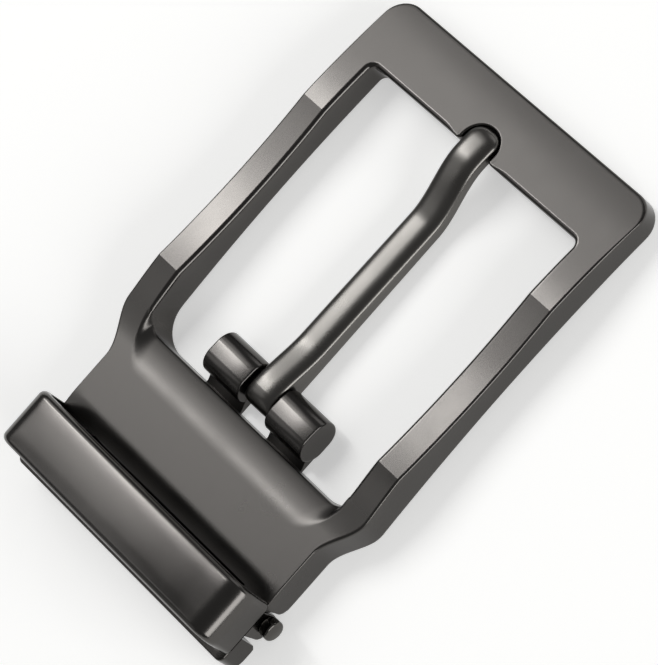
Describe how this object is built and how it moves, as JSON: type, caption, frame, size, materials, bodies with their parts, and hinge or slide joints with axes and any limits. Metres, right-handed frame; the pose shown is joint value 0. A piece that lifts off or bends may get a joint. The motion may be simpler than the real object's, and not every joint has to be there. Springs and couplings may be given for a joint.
{
  "type": "clip-on pin buckle for a 35 mm belt",
  "caption": "Gun-metal pin buckle for a 35 mm belt: cast frame with a notched front bar, pivoting prong, and a strap clamp made of a cover band and a lever on a cross pin.",
  "frame": {"origin": "centre of the plan box, on the surface the buckle's back rests on", "axes": "+X from the strap clamp towards the notched front bar, +Z out of the face that is seen when worn, +Y across the strap"},
  "size_m": [0.0684, 0.0434, 0.0105],
  "materials": {
    "frame_plated_casting": "black-nickel plate over satin-blasted cast zinc",
    "prong_plated_casting": "black-nickel plate over polished cast zinc",
    "prong_pin_steel": "plain drawn steel",
    "cover_plated_sheet": "black-nickel plate over satin-blasted steel sheet",
    "clamp_pin_plated_steel": "black-nickel plate over turned steel",
    "lever_plated_casting": "black-nickel plate over satin-blasted cast zinc"
  },
  "bodies": {
    "frame_body": {"frame": "frame_plated_casting", "cover": "cover_plated_sheet", "prong_pin": "prong_pin_steel", "clamp_pin": "clamp_pin_plated_steel"},
    "prong_body": {"prong": "prong_plated_casting"},
    "lever_body": {"lever": "lever_plated_casting"}
  },
  "joints": [
    {"name": "prong_hinge", "type": "hinge", "parent": "frame_body", "child": "prong_body", "pos_m": [-0.00915, 0, 0.0021], "axis": [0, -1, 0], "range_deg": [0, 135]},
    {"name": "lever_hinge", "type": "hinge", "parent": "frame_body", "child": "lever_body", "pos_m": [-0.0277, 0, 0.0015], "axis": [0, -1, 0], "range_deg": [0, 100]}
  ]
}
